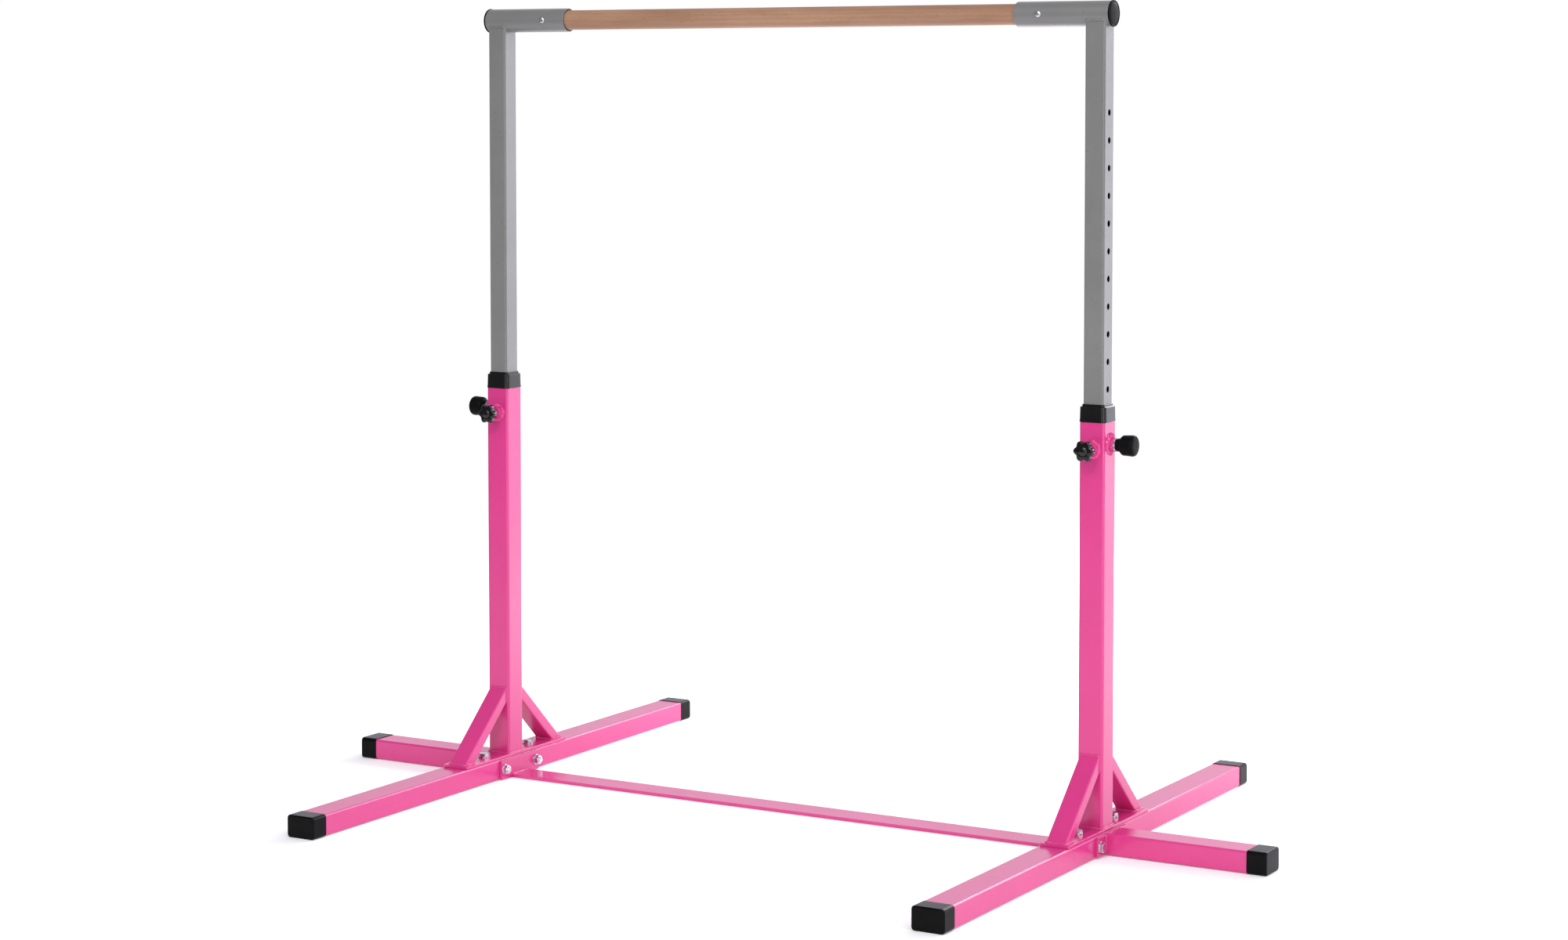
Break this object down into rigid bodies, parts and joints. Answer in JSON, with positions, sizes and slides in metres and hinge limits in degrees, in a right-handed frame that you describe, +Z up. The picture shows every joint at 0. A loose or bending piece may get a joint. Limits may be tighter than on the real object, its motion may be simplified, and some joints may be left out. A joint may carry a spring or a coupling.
{
  "type": "gymnastics horizontal bar",
  "caption": "Free-standing horizontal bar: a round wooden rail on telescopic masts, with pull pins and star knobs to lock its height, on a wide steel base.",
  "frame": {"origin": "on the floor, midway between the two masts and midway between the front and back feet", "axes": "+X along the rail, +Y to the back (the star knobs are at the front), +Z up"},
  "size_m": [2, 1.322, 1.5482],
  "materials": {
    "pink_powder_coat": "glossy powder coat",
    "grey_powder_coat": "satin powder coat",
    "black_plastic": "moulded, satin",
    "black_knob": "moulded, fine grain",
    "beech": "turned and sanded",
    "zinc_hardware": "bright zinc plate",
    "spring_steel": "bare spring wire"
  },
  "bodies": {
    "base_frame": {"base_tube_left": "pink_powder_coat", "base_tube_right": "pink_powder_coat", "base_cap_left_front": "black_plastic", "base_cap_left_back": "black_plastic", "base_cap_right_front": "black_plastic", "base_cap_right_back": "black_plastic", "outrigger_left": "pink_powder_coat", "outrigger_right": "pink_powder_coat", "outrigger_cap_left": "black_plastic", "outrigger_cap_right": "black_plastic", "floor_strap": "pink_powder_coat", "foot_plate_left": "pink_powder_coat", "foot_plate_right": "pink_powder_coat", "post_left": "pink_powder_coat", "post_right": "pink_powder_coat", "brace_left_front": "pink_powder_coat", "brace_left_back": "pink_powder_coat", "brace_right_front": "pink_powder_coat", "brace_right_back": "pink_powder_coat", "post_collar_left": "black_plastic", "post_collar_right": "black_plastic", "clamp_boss_left": "pink_powder_coat", "clamp_boss_right": "pink_powder_coat", "plunger_boss_left": "pink_powder_coat", "plunger_boss_right": "pink_powder_coat", "plunger_bush_left": "zinc_hardware", "plunger_bush_right": "zinc_hardware", "side_bolt_left_front": "zinc_hardware", "side_bolt_left_back": "zinc_hardware", "side_bolt_right_front": "zinc_hardware", "side_bolt_right_back": "zinc_hardware", "side_nut_left_front": "zinc_hardware", "side_nut_left_back": "zinc_hardware", "side_nut_right_front": "zinc_hardware", "side_nut_right_back": "zinc_hardware", "plate_bolt_left_front": "zinc_hardware", "plate_bolt_left_back": "zinc_hardware", "plate_bolt_right_front": "zinc_hardware", "plate_bolt_right_back": "zinc_hardware"},
    "upper_frame": {"upright_left": "grey_powder_coat", "upright_right": "grey_powder_coat", "sleeve_left": "grey_powder_coat", "sleeve_right": "grey_powder_coat", "sleeve_cap_left": "black_plastic", "sleeve_cap_right": "black_plastic", "rail_bush_left": "black_plastic", "rail_bush_right": "black_plastic", "rail": "beech", "rail_screw_left": "zinc_hardware", "rail_screw_right": "zinc_hardware"},
    "plunger_left": {"plunger_pin_left": "zinc_hardware", "plunger_knob_left": "black_knob", "plunger_spring_left": "spring_steel"},
    "clamp_stud_left": {"clamp_stud_left": "zinc_hardware"},
    "star_knob_left": {"star_knob_left": "black_knob"},
    "plunger_right": {"plunger_pin_right": "zinc_hardware", "plunger_knob_right": "black_knob", "plunger_spring_right": "spring_steel"},
    "clamp_stud_right": {"clamp_stud_right": "zinc_hardware"},
    "star_knob_right": {"star_knob_right": "black_knob"}
  },
  "joints": [
    {"name": "height_slide", "type": "slide", "parent": "base_frame", "child": "upper_frame", "axis": [0, 0, 1], "range_m": [-0.6, 0]},
    {"name": "plunger_pull_left", "type": "slide", "parent": "base_frame", "child": "plunger_left", "axis": [-1, 0, 0], "range_m": [0, 0.0056], "stiffness_N_per_m": 1200, "springref_m": -0.008, "deforming": ["plunger_spring_left"]},
    {"name": "clamp_travel_left", "type": "slide", "parent": "base_frame", "child": "clamp_stud_left", "axis": [0, -1, 0], "range_m": [0, 0.00251]},
    {"name": "clamp_turn_left", "type": "hinge", "parent": "clamp_stud_left", "child": "star_knob_left", "pos_m": [-0.655, -0.0588, 0.738], "axis": [0, -1, 0], "range_deg": [0, 720]},
    {"name": "plunger_pull_right", "type": "slide", "parent": "base_frame", "child": "plunger_right", "axis": [1, 0, 0], "range_m": [0, 0.0056], "stiffness_N_per_m": 1200, "springref_m": -0.008, "deforming": ["plunger_spring_right"]},
    {"name": "clamp_travel_right", "type": "slide", "parent": "base_frame", "child": "clamp_stud_right", "axis": [0, -1, 0], "range_m": [0, 0.00251]},
    {"name": "clamp_turn_right", "type": "hinge", "parent": "clamp_stud_right", "child": "star_knob_right", "pos_m": [0.655, -0.0588, 0.738], "axis": [0, -1, 0], "range_deg": [0, 720]}
  ],
  "couplings": [
    {"joint": "clamp_travel_left", "follows": "clamp_turn_left", "m_per_rad": 0.00019894},
    {"joint": "clamp_travel_right", "follows": "clamp_turn_right", "m_per_rad": 0.00019894}
  ]
}
